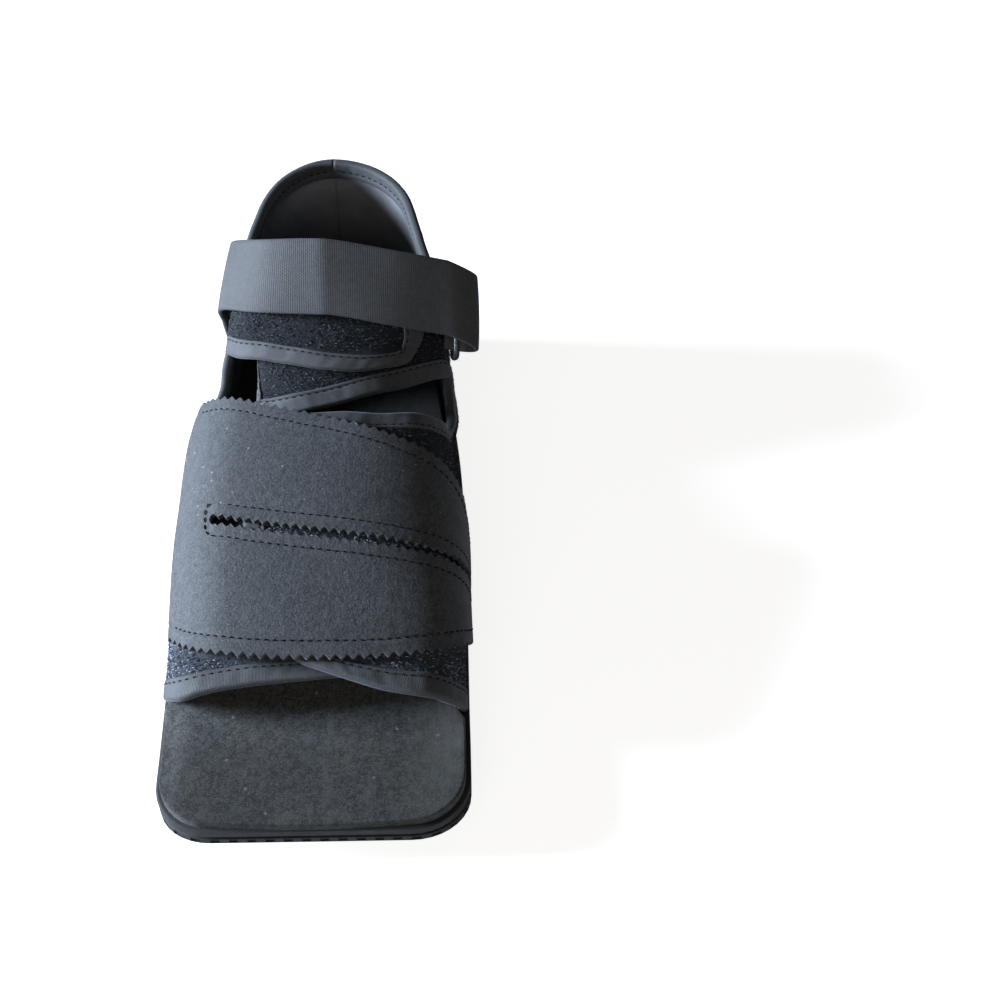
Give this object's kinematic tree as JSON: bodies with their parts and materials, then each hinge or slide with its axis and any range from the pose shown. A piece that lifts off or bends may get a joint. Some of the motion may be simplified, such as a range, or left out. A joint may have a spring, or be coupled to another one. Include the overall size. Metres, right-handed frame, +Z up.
{
  "type": "postoperative shoe",
  "caption": "Open-toe postoperative shoe with a rocker sole, foam footbed, bound wrap-over cloth flaps, a wide slit forefoot strap and a webbing ankle strap through a ring.",
  "frame": {"origin": "on the ground, under the flat patch of the outsole", "axes": "+Z up, +Y from the toe to the heel along the sole, +X to the wearer side that holds the strap ring"},
  "size_m": [0.1169, 0.2809, 0.1109],
  "materials": {
    "sole_rubber": "matte moulded rubber with a side groove and tread ribs",
    "footbed_foam": "matte foam, faintly mottled",
    "loop_cloth": "brushed loop cloth with a smooth lining",
    "binding_tape": "ribbed folded tape, sewn near its inner edge",
    "strap_nubuck": "fine-grained nubuck-like sheet with pinked edges and sewn lines",
    "webbing": "finely ribbed woven webbing",
    "ring_plastic": "glossy moulded loop"
  },
  "bodies": {
    "root": {"outsole": "sole_rubber", "footbed": "footbed_foam", "upper_left": "loop_cloth", "upper_right": "loop_cloth", "binding_left": "binding_tape", "binding_right": "binding_tape", "forefoot_strap": "strap_nubuck", "ankle_strap": "webbing", "strap_ring": "ring_plastic", "ring_tab": "webbing"}
  },
  "joints": []
}
